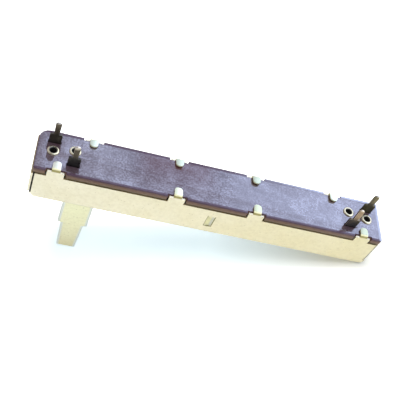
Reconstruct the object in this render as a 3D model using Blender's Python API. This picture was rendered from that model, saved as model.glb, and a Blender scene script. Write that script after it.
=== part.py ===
"""Slide potentiometer with 60 mm travel, board side up and lever down.

X runs along the body, Y across it and Z up. The origin is the middle of the panel face, which is
the outer side of the can's floor. The lever stands at the left end of its travel. Metres.
"""

import math

import bmesh
import bpy
from mathutils import Matrix, Vector

MM = 0.001
HALF_PI = math.pi / 2
MERGE_DISTANCE = 1e-8
SHARP_ANGLE = math.radians(35)

# Sheet steel can
BODY_WIDTH = 11.5 * MM
WALL_HEIGHT = 9.25 * MM
SHEET = 0.45 * MM
BEND_RADIUS = 0.3 * MM
BEND_STEPS = 4
WALL_CORNER = 1.6 * MM
FLAP_OVERHANG = 0.2 * MM
FLAP_GAP = 0.4 * MM
FLAP_LIFT = 0.6 * MM
RELIEF = 0.25 * MM

# Lugs that hold the board down, and the shoulders under them
NEAR_LUG_INSET = 5.0 * MM
FAR_LUG_INSET = 12.3 * MM
MIDDLE_LUG_OFFSET = 9.7 * MM
LUG_WIDTH = 1.9 * MM
LUG_REACH = 2.5 * MM
LUG_LIFT = 0.2 * MM
LUG_ROUND = 0.8 * MM
SHOULDER_WIDTH = 3.8 * MM
SHOULDER_DROP = 0.35 * MM
SHOULDER_CHAMFER = 0.15 * MM

# Floor of the can: lever slot and tapped screw holes with drawn collars
SLOT_SIDE_CLEARANCE = 0.3 * MM
SLOT_END_CLEARANCE = 0.5 * MM
SCREW_INSET = 3.9 * MM
SCREW_BORE = 2.5 * MM
COLLAR_WALL = 0.5 * MM
COLLAR_HEIGHT = 1.0 * MM

# Click groove pressed into the near wall at half travel
CLICK_WIDTH = 1.55 * MM
CLICK_FOOT = 2.8 * MM
CLICK_LENGTH = 3.65 * MM
CLICK_DEPTH = 0.45 * MM
CLICK_RUN_OUT = 0.5 * MM
CLICK_FOOT_SHARE = 0.6

# Laminate board, which reaches past the lever's middle at each end of its travel
TRAVEL = 60.0 * MM
END_LENGTH = 12.5 * MM
BOARD_THICKNESS = 1.6 * MM
BOARD_KEY_RADIUS = 2.4 * MM
BOARD_CORNER = 0.4 * MM
NOTCH_SIDE_CLEARANCE = 0.4 * MM
NOTCH_DEPTH = 0.65 * MM
SEAT = 0.05 * MM

# Tracks printed on the board's inner side, each at its own distance from the can's wall
TRACK_THICKNESS = 0.1 * MM
CARBON_WALL_GAP = 0.9 * MM
CARBON_WIDTH = 1.3 * MM
COLLECTOR_WALL_GAP = 1.0 * MM
COLLECTOR_WIDTH = 2.0 * MM
PAD_MARGIN = 0.35 * MM

# Eyelets that clamp the terminals to the board
OUTER_EYELET_INSET = 3.55 * MM
INNER_EYELET_INSET = 8.4 * MM
OUTER_EYELET_OFFSET = 0.0 * MM
INNER_EYELET_OFFSET = 1.1 * MM
EYELET_SHANK_RADIUS = 1.0 * MM
EYELET_WALL = 0.18 * MM
EYELET_ROLL_RADIUS = 1.3 * MM
EYELET_ROLL_HEIGHT = 0.3 * MM
EYELET_HEAD_RADIUS = 1.45 * MM
EYELET_HEAD_THICKNESS = 0.22 * MM
ROUND_STEPS = 28

# Terminals: a ring foot under the board and a blade that stands up through it
TERMINAL_THICKNESS = 0.5 * MM
TERMINAL_WIDTH = 2.8 * MM
TERMINAL_SHOULDER = 2.8 * MM
TERMINAL_HEIGHT = 6.6 * MM
TERMINAL_PIN_WIDTH = 1.15 * MM
TERMINAL_RING_RADIUS = 1.5 * MM
TERMINAL_BEND = 0.2 * MM
SHOULDER_ROUND = 0.35 * MM
RISER_CLEARANCE = 0.1 * MM
OUTER_RISER_OFFSET = 2.6 * MM
COLLECTOR_RISER_INSET = 0.65 * MM

# Lever
LEVER_LENGTH = 25.0 * MM
LEVER_THICKNESS = 1.5 * MM
LEVER_WIDTH = 7.4 * MM
LEVER_STEP = 14.8 * MM
LEVER_NECK_WIDTH = 5.75 * MM
LEVER_TIP_WIDTH = 4.8 * MM
LEVER_EDGE_RADIUS = 0.3 * MM
LEVER_EDGE_ANGLE = math.radians(60)
LEVER_TIP_ROUND = 0.4 * MM
LEVER_HEAD_WIDTH = 9.4 * MM
LEVER_HEAD_HEIGHT = 1.35 * MM

# Moulded carriage that carries the lever
CARRIAGE_LENGTH = 12.0 * MM
CARRIAGE_TOP = 6.6 * MM
CARRIAGE_CLEARANCE = 0.15 * MM
SKID_WIDTH = 1.8 * MM
SKID_HEIGHT = 0.4 * MM
PEG_RADIUS = 0.6 * MM
PEG_HEIGHT = 0.75 * MM
PEG_HEAD_RADIUS = 0.85 * MM
PEG_OFFSET = 2.4 * MM
CORE_WALL = 0.9 * MM
CORE_DEPTH = 1.8 * MM

# Wiper: a bridge strip with two arms of three fingers
WIPER_SHEET = 0.2 * MM
WIPER_BRIDGE_LENGTH = 3.2 * MM
WIPER_BRIDGE_INSET = 0.5 * MM
WIPER_TIP_REACH = 2.0 * MM
WIPER_TOE_RADIUS = 0.45 * MM
WIPER_TOE_RISE = 0.18 * MM
FINGER_WIDTH = 0.32 * MM
FINGER_PITCH = 0.44 * MM
FINGERS = 3

# Leaf spring that rides over the click groove
SPRING_SHEET = 0.25 * MM
SPRING_LENGTH = 9.8 * MM
SPRING_HEIGHT = 2.4 * MM
SPRING_POCKET_DEPTH = 1.0 * MM
SPRING_RUNNING_GAP = 0.1 * MM
SPRING_STEPS = 16

# Places worked out from the sizes above
HALF_WIDTH = BODY_WIDTH / 2
INNER_HALF_WIDTH = HALF_WIDTH - SHEET
HALF_BOARD = TRAVEL / 2 + END_LENGTH
FLAP_FACE = HALF_BOARD + FLAP_OVERHANG
WALL_END = FLAP_FACE - SHEET - FLAP_GAP
FLAP_FOOT = WALL_CORNER + FLAP_LIFT
FLOOR_END = FLAP_FACE - SHEET - SEAT
OUTER_BEND = BEND_RADIUS + SHEET
FLOOR_TAB_HALF = HALF_WIDTH - OUTER_BEND - RELIEF
BOARD_BOTTOM = WALL_HEIGHT + SEAT
BOARD_TOP = BOARD_BOTTOM + BOARD_THICKNESS
TRACK_TOP = BOARD_BOTTOM - SEAT
TRACK_BOTTOM = TRACK_TOP - TRACK_THICKNESS
FOOT_TOP = TRACK_BOTTOM - SEAT
FOOT_BOTTOM = FOOT_TOP - TERMINAL_THICKNESS
CARBON_OFFSET = INNER_HALF_WIDTH - CARBON_WALL_GAP - CARBON_WIDTH / 2
COLLECTOR_OFFSET = INNER_HALF_WIDTH - COLLECTOR_WALL_GAP - COLLECTOR_WIDTH / 2
INNER_RISER_OFFSET = COLLECTOR_WIDTH / 2 - COLLECTOR_OFFSET - COLLECTOR_RISER_INSET
OUTER_EYELET_X = HALF_BOARD - OUTER_EYELET_INSET
INNER_EYELET_X = HALF_BOARD - INNER_EYELET_INSET
BOARD_HOLE_RADIUS = EYELET_SHANK_RADIUS + SEAT
RISER_SLOT_WIDTH = TERMINAL_WIDTH + 2 * RISER_CLEARANCE
RISER_SLOT_DEPTH = TERMINAL_THICKNESS + 2 * RISER_CLEARANCE
LEVER_REST_X = -TRAVEL / 2
SLOT_HALF_LENGTH = (TRAVEL + LEVER_WIDTH) / 2 + SLOT_END_CLEARANCE
SLOT_HALF_WIDTH = LEVER_THICKNESS / 2 + SLOT_SIDE_CLEARANCE
SCREW_X = HALF_BOARD - SCREW_INSET
CLICK_INNER_FACE = CLICK_DEPTH - INNER_HALF_WIDTH
CLICK_CHANNEL_FACE = CLICK_INNER_FACE + CARRIAGE_CLEARANCE
SPRING_POCKET_FACE = CLICK_CHANNEL_FACE + SPRING_POCKET_DEPTH
CARRIAGE_FOOT = SHEET + CARRIAGE_CLEARANCE
CARRIAGE_HALF_WIDTH = INNER_HALF_WIDTH - CARRIAGE_CLEARANCE
LEVER_HEAD_TOP = CARRIAGE_TOP - SEAT
LEVER_HEAD_FOOT = LEVER_HEAD_TOP - LEVER_HEAD_HEIGHT
WIPER_BASE = CARRIAGE_TOP + SEAT
WIPER_BRIDGE_END = CARRIAGE_LENGTH / 2 - WIPER_BRIDGE_INSET
WIPER_BRIDGE_START = WIPER_BRIDGE_END - WIPER_BRIDGE_LENGTH
PEG_X = (WIPER_BRIDGE_START + WIPER_BRIDGE_END) / 2
NOTCH_WIDTH = SHOULDER_WIDTH + 2 * NOTCH_SIDE_CLEARANCE


def lug_places(inset):
    """Places along X of the four lugs of one wall, whose end lugs lie inset from the board's ends."""
    end = HALF_BOARD - inset
    return (-end, -MIDDLE_LUG_OFFSET, MIDDLE_LUG_OFFSET, end)


NEAR_LUGS = lug_places(NEAR_LUG_INSET)
FAR_LUGS = lug_places(FAR_LUG_INSET)


def clear_scene():
    """Remove every object, so that the file holds only the part."""
    for obj in list(bpy.data.objects):
        bpy.data.objects.remove(obj, do_unlink=True)


def material(name, colour, roughness, metallic):
    """A Principled material with one colour."""
    made = bpy.data.materials.new(name)
    made.use_nodes = True
    shader = made.node_tree.nodes["Principled BSDF"]
    shader.inputs["Base Color"].default_value = (*colour, 1.0)
    shader.inputs["Roughness"].default_value = roughness
    shader.inputs["Metallic"].default_value = metallic
    return made


def empty(name, location):
    """An empty that carries the pieces of one moving or fixed group."""
    made = bpy.data.objects.new(name, None)
    made.location = location
    bpy.context.scene.collection.objects.link(made)
    return made


def add_object(name, bm, finish, carrier, location=(0.0, 0.0, 0.0)):
    """Turn a bmesh into a named object that is placed on its carrier, with its faces outwards."""
    bmesh.ops.recalc_face_normals(bm, faces=bm.faces)
    if bm.calc_volume(signed=True) < 0:
        bmesh.ops.reverse_faces(bm, faces=bm.faces)
    mesh = bpy.data.meshes.new(name)
    bm.to_mesh(mesh)
    bm.free()
    mesh.shade_smooth()
    mesh.set_sharp_from_angle(angle=SHARP_ANGLE)
    obj = bpy.data.objects.new(name, mesh)
    if finish is not None:
        mesh.materials.append(finish)
    obj.parent = carrier
    obj.location = location
    bpy.context.scene.collection.objects.link(obj)
    return obj


def combine(target, bm, name, operation):
    """Add a bmesh to the target, or cut it out of it, with a Boolean; it stands on the target's carrier."""
    other = add_object(name, bm, None, target.parent, target.location)
    other.hide_render = True
    other.display_type = "WIRE"
    modifier = target.modifiers.new(name, "BOOLEAN")
    modifier.operation = operation
    modifier.object = other


def settle(obj):
    """Keep what an object's modifiers make as its own mesh, with its corners sharp again."""
    graph = bpy.context.evaluated_depsgraph_get()
    mesh = bpy.data.meshes.new_from_object(obj.evaluated_get(graph), depsgraph=graph)
    obj.modifiers.clear()
    obj.data = mesh
    mesh.shade_smooth()
    mesh.set_sharp_from_angle(angle=SHARP_ANGLE)


def arc(centre, radius, start, end, steps=BEND_STEPS):
    """Points of an arc from one angle to another, both ends included."""
    angles = [start + (end - start) * step / steps for step in range(steps + 1)]
    return [(centre[0] + radius * math.cos(a), centre[1] + radius * math.sin(a)) for a in angles]


def circle(centre, radius):
    """Outline of a circle, with its first point written once."""
    return arc(centre, radius, 0.0, 2 * math.pi, ROUND_STEPS)[:-1]


def rectangle(x_span, y_span):
    """Outline of a rectangle."""
    (x_low, x_high), (y_low, y_high) = x_span, y_span
    return [(x_low, y_low), (x_high, y_low), (x_high, y_high), (x_low, y_high)]


def rounded_slot(half_length, half_width):
    """Outline of a slot along X with round ends, centred on the origin."""
    straight = half_length - half_width
    right = arc((straight, 0.0), half_width, -HALF_PI, HALF_PI, 2 * BEND_STEPS)
    return right + [(-x, -y) for x, y in right]


def strip(points, thickness):
    """Outline of a strip of even thickness about a centre line."""
    sides = ([], [])
    for index, point in enumerate(points):
        before = Vector(points[max(index - 1, 0)])
        after = Vector(points[min(index + 1, len(points) - 1)])
        normal = (after - before).orthogonal().normalized() * thickness / 2
        sides[0].append(tuple(Vector(point) - normal))
        sides[1].append(tuple(Vector(point) + normal))
    return sides[0] + sides[1][::-1]


def plate(outline, holes, low, high):
    """A closed flat plate: its outline and holes are in X and Y, and it spans low to high in Z."""
    bm = bmesh.new()
    edges = []
    for loop in (outline, *holes):
        verts = [bm.verts.new((x, y, low)) for x, y in loop]
        edges += [bm.edges.new(pair) for pair in zip(verts, verts[1:] + verts[:1])]
    bmesh.ops.triangle_fill(bm, edges=edges, use_beauty=True)
    made = bmesh.ops.extrude_face_region(bm, geom=bm.faces[:])["geom"]
    moved = [item for item in made if isinstance(item, bmesh.types.BMVert)]
    bmesh.ops.translate(bm, verts=moved, vec=(0.0, 0.0, high - low))
    bmesh.ops.recalc_face_normals(bm, faces=bm.faces)
    return bm


def standing_plate(outline, y_low, y_high):
    """A plate whose outline is in X and Z, and which spans y_low to y_high."""
    bm = plate(outline, (), y_low, y_high)
    bm.transform(Matrix(((1, 0, 0, 0), (0, 0, 1, 0), (0, 1, 0, 0), (0, 0, 0, 1))))
    return bm


def joined(parts):
    """One bmesh that holds several, which don't meet."""
    whole = bmesh.new()
    for part in parts:
        mesh = bpy.data.meshes.new("joined")
        part.to_mesh(mesh)
        part.free()
        whole.from_mesh(mesh)
        bpy.data.meshes.remove(mesh)
    return whole


def block(x_span, y_span, z_span):
    """A box between the given pairs."""
    return plate(rectangle(x_span, y_span), (), *z_span)


def rod(centre, radius, z_span):
    """An upright cylinder."""
    return plate(circle(centre, radius), (), *z_span)


def revolve(profile):
    """Spin a closed profile of radius and height pairs about Z."""
    bm = bmesh.new()
    verts = [bm.verts.new((radius, 0.0, height)) for radius, height in profile]
    edges = [bm.edges.new(pair) for pair in zip(verts, verts[1:] + verts[:1])]
    turn = {"axis": (0, 0, 1), "cent": (0, 0, 0), "angle": 2 * math.pi}
    bmesh.ops.spin(bm, geom=verts + edges, steps=ROUND_STEPS, use_merge=True, **turn)
    bmesh.ops.remove_doubles(bm, verts=bm.verts, dist=MERGE_DISTANCE)
    return bm


class Fold:
    """A quarter turn towards +Z of the part of a flat sheet that lies beyond a line."""

    def __init__(self, line, along, thickness, radius, turns=None):
        """Take a point of the line on the sheet's lower face, and the direction away from what stays."""
        self.line = Vector(line)
        self.along = Vector(along)
        self.neutral = radius + thickness / 2
        self.centre_height = thickness + radius
        self.turns = turns or (lambda co: True)

    def distance(self, co):
        """How far a point lies beyond the line."""
        return (co - self.line).dot(self.along)

    def moves(self, co):
        """Whether a point of the flat sheet turns in this fold."""
        return self.distance(co) > MERGE_DISTANCE and self.turns(co)

    def crease(self, bm):
        """Cut the sheet's faces along the bend, so that it can turn in even steps."""
        for step in range(BEND_STEPS + 1):
            chosen = [face for face in bm.faces if any(self.moves(vert.co) for vert in face.verts)]
            geom = {item for face in chosen for item in (face, *face.verts, *face.edges)}
            cut = self.line + self.along * (self.neutral * HALF_PI * step / BEND_STEPS)
            plane = {"plane_co": cut, "plane_no": self.along}
            bmesh.ops.bisect_plane(bm, geom=list(geom), dist=MERGE_DISTANCE, **plane)

    def turned(self, co):
        """Where a point of the sheet goes."""
        distance = self.distance(co)
        angle = min(distance / self.neutral, HALF_PI)
        beyond = max(distance - self.neutral * HALF_PI, 0.0)
        reach = self.centre_height - (co.z - self.line.z)
        place = co + self.along * (reach * math.sin(angle) - distance)
        place.z = self.line.z + self.centre_height - reach * math.cos(angle) + beyond
        return place


def folded(bm, folds):
    """Crease a flat sheet for every fold, then turn the folds in order."""
    for turn in folds:
        turn.crease(bm)
    moving = [[vert for vert in bm.verts if turn.moves(vert.co)] for turn in folds]
    for turn, verts in zip(folds, moving):
        for vert in verts:
            vert.co = turn.turned(vert.co)
    return bm


def blank_height(height):
    """Distance from the flat blank's middle line to a height on the folded wall."""
    bend_span = (BEND_RADIUS + SHEET / 2) * HALF_PI
    return HALF_WIDTH - OUTER_BEND + bend_span + height - OUTER_BEND


def lug_outline(x):
    """One shoulder and its lug on the near side of the flat blank, from low x to high x."""
    bend_span = (BEND_RADIUS + SHEET / 2) * HALF_PI
    shoulder_top = -blank_height(BOARD_TOP - SHOULDER_DROP)
    tip = -blank_height(BOARD_TOP + LUG_LIFT - BEND_RADIUS) - bend_span - (LUG_REACH - OUTER_BEND)
    half_shoulder = SHOULDER_WIDTH / 2
    round_x = LUG_WIDTH / 2 - LUG_ROUND
    left_side = [
        (-half_shoulder, -blank_height(WALL_HEIGHT)),
        (-half_shoulder, shoulder_top + SHOULDER_CHAMFER),
        (SHOULDER_CHAMFER - half_shoulder, shoulder_top),
        (-LUG_WIDTH / 2, shoulder_top),
    ]
    left_side += arc((-round_x, tip + LUG_ROUND), LUG_ROUND, math.pi, 3 * HALF_PI)
    right_side = [(-px, py) for px, py in left_side[::-1]]
    return [(x + px, py) for px, py in left_side + right_side]


def blank_half(lugs):
    """Near half of the flat blank's outline, from its left end to its right end, where it has its flap."""
    wall_top = -blank_height(WALL_HEIGHT)
    flap_foot = -blank_height(FLAP_FOOT)
    relief_foot = -blank_height(FLAP_FOOT - RELIEF)
    corner_y = -(HALF_WIDTH - SHEET + WALL_CORNER)
    bend_start = FLAP_FACE - OUTER_BEND
    flap_tip = bend_start + (BEND_RADIUS + SHEET / 2) * HALF_PI + BODY_WIDTH - OUTER_BEND
    outline = [(-FLOOR_END, -FLOOR_TAB_HALF), (WALL_CORNER - WALL_END, -FLOOR_TAB_HALF)]
    outline += arc((WALL_CORNER - WALL_END, corner_y), WALL_CORNER, HALF_PI, math.pi)
    outline += [(-WALL_END, wall_top)]
    outline += [point for x in lugs for point in lug_outline(x)]
    outline += [
        (flap_tip, wall_top),
        (flap_tip, flap_foot),
        (bend_start - RELIEF, flap_foot),
        (bend_start - RELIEF, relief_foot),
        (HALF_BOARD, relief_foot),
    ]
    outline += arc((HALF_BOARD - WALL_CORNER, corner_y), WALL_CORNER, 0.0, HALF_PI)
    outline += [(HALF_BOARD - WALL_CORNER, -FLOOR_TAB_HALF), (FLOOR_END, -FLOOR_TAB_HALF)]
    return outline


def click_oval(half_width, depth, foot, top):
    """Upright oval body on the near wall's outer face, with a square top and a foot that runs out."""
    outline = [(x, y * depth / half_width) for x, y in circle((0.0, 0.0), half_width)]
    bm = plate(outline, (), foot, top)
    foot_verts = [vert for vert in bm.verts if vert.co.z < (foot + top) / 2]
    cut = {"plane_co": (0, 0, foot + CLICK_RUN_OUT), "plane_no": (0, 0, 1)}
    bmesh.ops.bisect_plane(bm, geom=bm.verts[:] + bm.edges[:] + bm.faces[:], dist=MERGE_DISTANCE, **cut)
    bmesh.ops.scale(bm, verts=foot_verts, vec=(CLICK_FOOT_SHARE, CLICK_FOOT_SHARE / 2, 1.0))
    bmesh.ops.translate(bm, verts=bm.verts, vec=(0.0, -HALF_WIDTH, 0.0))
    return bm


def inner_half(bm, face):
    """What lies on the inner side of a plane across Y, closed again."""
    geom = bm.verts[:] + bm.edges[:] + bm.faces[:]
    plane = {"plane_co": (0, face, 0), "plane_no": (0, 1, 0), "clear_inner": True}
    cut = bmesh.ops.bisect_plane(bm, geom=geom, dist=MERGE_DISTANCE, **plane)
    edges = [item for item in cut["geom_cut"] if isinstance(item, bmesh.types.BMEdge)]
    bmesh.ops.contextual_create(bm, geom=edges)
    return bm


def build_frame(finish, carrier):
    """The can: one blank with its lugs, end flaps and long walls folded up, drawn collars and a click rib."""
    near = blank_half(NEAR_LUGS)
    far = [(-x, -y) for x, y in blank_half(FAR_LUGS)]
    screws = [(-SCREW_X, 0.0), (SCREW_X, 0.0)]
    slot = rounded_slot(SLOT_HALF_LENGTH, SLOT_HALF_WIDTH)
    blank = plate(near + far, [slot], 0.0, SHEET)
    sheet = (SHEET, BEND_RADIUS)
    lug_line = blank_height(BOARD_TOP + LUG_LIFT - BEND_RADIUS)
    flap_line = FLAP_FACE - OUTER_BEND
    flap_low = blank_height(FLAP_FOOT - RELIEF / 2)
    wall_line = HALF_WIDTH - OUTER_BEND
    folds = [
        Fold((0, -lug_line, 0), (0, -1, 0), *sheet),
        Fold((0, lug_line, 0), (0, 1, 0), *sheet),
        Fold((flap_line, 0, 0), (1, 0, 0), *sheet, lambda co: co.y < -flap_low),
        Fold((-flap_line, 0, 0), (-1, 0, 0), *sheet, lambda co: co.y > flap_low),
        Fold((0, -wall_line, 0), (0, -1, 0), *sheet),
        Fold((0, wall_line, 0), (0, 1, 0), *sheet),
    ]
    frame = add_object("frame", folded(blank, folds), finish, carrier)

    collar_radius = SCREW_BORE / 2 + COLLAR_WALL
    collars = [rod(place, collar_radius, (SHEET / 2, SHEET + COLLAR_HEIGHT)) for place in screws]
    bores = [rod(place, SCREW_BORE / 2, (-SHEET, 2 * SHEET + COLLAR_HEIGHT)) for place in screws]
    click_top = CLICK_FOOT + CLICK_LENGTH
    groove = click_oval(CLICK_WIDTH / 2, CLICK_DEPTH, CLICK_FOOT, click_top)
    rib = click_oval(CLICK_WIDTH / 2 + SHEET / 2, CLICK_DEPTH + SHEET, CLICK_FOOT - SHEET / 2, click_top)
    combine(frame, joined([*collars, inner_half(rib, SHEET / 2 - HALF_WIDTH)]), "drawn_metal", "UNION")
    combine(frame, joined([*bores, groove]), "pressed_metal", "DIFFERENCE")
    settle(frame)


def board_outline():
    """Outline of the board, with a notch for each shoulder and one large key radius, anticlockwise."""
    corner = (HALF_BOARD - BOARD_CORNER, HALF_WIDTH - BOARD_CORNER)
    key_centre = (BOARD_KEY_RADIUS - HALF_BOARD, HALF_WIDTH - BOARD_KEY_RADIUS)
    outline = arc((-corner[0], -corner[1]), BOARD_CORNER, math.pi, 3 * HALF_PI)
    for x in NEAR_LUGS:
        outline += notch(x, -1)
    outline += arc((corner[0], -corner[1]), BOARD_CORNER, -HALF_PI, 0.0)
    outline += arc(corner, BOARD_CORNER, 0.0, HALF_PI)
    for x in FAR_LUGS[::-1]:
        outline += notch(x, 1)
    outline += arc(key_centre, BOARD_KEY_RADIUS, HALF_PI, math.pi)
    return outline


def notch(x, side):
    """Four corners of one notch, in the order of the board's outline, for side -1 (near) or 1 (far)."""
    edge = side * HALF_WIDTH
    floor = side * (HALF_WIDTH - NOTCH_DEPTH)
    first = x + side * NOTCH_WIDTH / 2
    last = x - side * NOTCH_WIDTH / 2
    return [(first, edge), (first, floor), (last, floor), (last, edge)]


def terminal_places():
    """Name, X of its eyelet, Y of its eyelet and Y of its riser for each terminal, from left to right."""
    outer = (OUTER_EYELET_OFFSET, OUTER_RISER_OFFSET)
    inner = (INNER_EYELET_OFFSET, INNER_RISER_OFFSET)
    return [
        ("outer_left", -OUTER_EYELET_X, *outer),
        ("inner_left", -INNER_EYELET_X, *inner),
        ("inner_right", INNER_EYELET_X, *inner),
        ("outer_right", OUTER_EYELET_X, *outer),
    ]


def riser_slot(x, y):
    """Outline of the slot that a terminal's riser stands in."""
    half_width = RISER_SLOT_WIDTH / 2
    half_depth = RISER_SLOT_DEPTH / 2
    return rectangle((x - half_width, x + half_width), (y - half_depth, y + half_depth))


def build_board(finish, carrier):
    """The laminate board, with holes for eyelets and slots for risers."""
    holes = [circle((x, y), BOARD_HOLE_RADIUS) for name, x, y, riser in terminal_places()]
    holes += [riser_slot(x, riser) for name, x, y, riser in terminal_places()]
    return add_object("base_board", plate(board_outline(), holes, BOARD_BOTTOM, BOARD_TOP), finish, carrier)


def build_tracks(carbon, silver, carrier):
    """The carbon track between its silver end pads, and the collector track that the inner terminals touch."""
    pad_half = RISER_SLOT_WIDTH / 2 + PAD_MARGIN
    carbon_edges = (CARBON_OFFSET - CARBON_WIDTH / 2, CARBON_OFFSET + CARBON_WIDTH / 2)
    carbon_end = OUTER_EYELET_X - pad_half - SEAT
    carbon_bm = block((-carbon_end, carbon_end), carbon_edges, (TRACK_BOTTOM, TRACK_TOP))
    add_object("carbon_track", carbon_bm, carbon, carrier)
    for name, x, y, riser in terminal_places():
        if not name.startswith("outer"):
            continue
        pad = rectangle((x - pad_half, x + pad_half), (y - TERMINAL_RING_RADIUS, carbon_edges[1]))
        holes = [circle((x, y), BOARD_HOLE_RADIUS), riser_slot(x, riser)]
        side = name.split("_")[1]
        add_object(f"silver_pad_{side}", plate(pad, holes, TRACK_BOTTOM, TRACK_TOP), silver, carrier)
    end = INNER_EYELET_X + pad_half
    edges = (-COLLECTOR_OFFSET - COLLECTOR_WIDTH / 2, -COLLECTOR_OFFSET + COLLECTOR_WIDTH / 2)
    slots = [riser_slot(side * INNER_EYELET_X, INNER_RISER_OFFSET) for side in (-1, 1)]
    collector = plate(rectangle((-end, end), edges), slots, TRACK_BOTTOM, TRACK_TOP)
    add_object("collector_track", collector, silver, carrier)


def build_eyelets(finish, carrier):
    """Four eyelets, rolled over on the board's outer side."""
    bore = EYELET_SHANK_RADIUS - EYELET_WALL
    head_top = FOOT_BOTTOM - SEAT
    head_bottom = head_top - EYELET_HEAD_THICKNESS
    roll_foot = BOARD_TOP + SEAT
    roll_middle = (bore + EYELET_ROLL_RADIUS) / 2
    roll_half = (EYELET_ROLL_RADIUS - bore) / 2
    unit = arc((0.0, 0.0), 1.0, 0.0, math.pi, 2 * BEND_STEPS)
    profile = [
        (bore, head_bottom),
        (EYELET_HEAD_RADIUS, head_bottom),
        (EYELET_HEAD_RADIUS, head_top),
        (EYELET_SHANK_RADIUS, head_top),
        (EYELET_SHANK_RADIUS, roll_foot),
    ]
    profile += [(roll_middle + roll_half * x, roll_foot + EYELET_ROLL_HEIGHT * y) for x, y in unit]
    for name, x, y, riser in terminal_places():
        add_object(f"eyelet_{name}", revolve(profile), finish, carrier, (x, y, 0.0))


def terminal_blank(riser_distance):
    """Flat terminal: ring foot about the origin, arm along +Y, shouldered blade and pin."""
    bend_start = riser_distance - TERMINAL_BEND - TERMINAL_THICKNESS / 2
    bend_span = (TERMINAL_BEND + TERMINAL_THICKNESS / 2) * HALF_PI
    floor = FOOT_BOTTOM + TERMINAL_THICKNESS + TERMINAL_BEND
    shoulder = bend_start + bend_span + BOARD_TOP + TERMINAL_SHOULDER - floor
    tip = bend_start + bend_span + BOARD_TOP + TERMINAL_HEIGHT - floor
    half_width = TERMINAL_WIDTH / 2
    half_pin = TERMINAL_PIN_WIDTH / 2
    ring_join = math.acos(half_width / TERMINAL_RING_RADIUS)
    right = arc((0.0, 0.0), TERMINAL_RING_RADIUS, -HALF_PI, ring_join, 3 * BEND_STEPS)
    right += arc((half_width - SHOULDER_ROUND, shoulder - SHOULDER_ROUND), SHOULDER_ROUND, 0.0, HALF_PI)
    right += [(half_pin, shoulder)]
    right += arc((0.0, tip - half_pin), half_pin, 0.0, HALF_PI)
    left = [(-x, y) for x, y in right[::-1]]
    bm = plate(right[1:] + left[1:], [circle((0.0, 0.0), BOARD_HOLE_RADIUS)], 0.0, TERMINAL_THICKNESS)
    return folded(bm, [Fold((0, bend_start, 0), (0, 1, 0), TERMINAL_THICKNESS, TERMINAL_BEND)])


def build_terminals(finish, carrier):
    """Four terminals, whose ring feet lie under the eyelets and whose blades stand above the board."""
    for name, x, y, riser in terminal_places():
        bm = terminal_blank(abs(riser - y))
        if riser < y:
            bm.transform(Matrix.Rotation(math.pi, 4, "Z"))
        add_object(f"terminal_{name}", bm, finish, carrier, (x, y, FOOT_BOTTOM))


def build_lever(finish, carrier):
    """The lever: one stepped steel blade with a head that hangs in the carriage."""
    half_head = LEVER_HEAD_WIDTH / 2
    half_width = LEVER_WIDTH / 2
    tip_x = LEVER_TIP_WIDTH / 2 - LEVER_TIP_ROUND
    right = arc((tip_x, LEVER_TIP_ROUND - LEVER_LENGTH), LEVER_TIP_ROUND, -HALF_PI, 0.0)
    right += [
        (LEVER_NECK_WIDTH / 2, -LEVER_STEP),
        (half_width, -LEVER_STEP),
        (half_width, LEVER_HEAD_FOOT),
        (half_head, LEVER_HEAD_FOOT),
        (half_head, LEVER_HEAD_TOP),
    ]
    left = [(-x, z) for x, z in right[::-1]]
    lever = add_object(
        "lever", standing_plate(right + left, -LEVER_THICKNESS / 2, LEVER_THICKNESS / 2), finish, carrier
    )
    rounding = lever.modifiers.new("edges", "BEVEL")
    rounding.width = LEVER_EDGE_RADIUS
    rounding.segments = 3
    rounding.limit_method = "ANGLE"
    rounding.angle_limit = LEVER_EDGE_ANGLE
    settle(lever)


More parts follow.
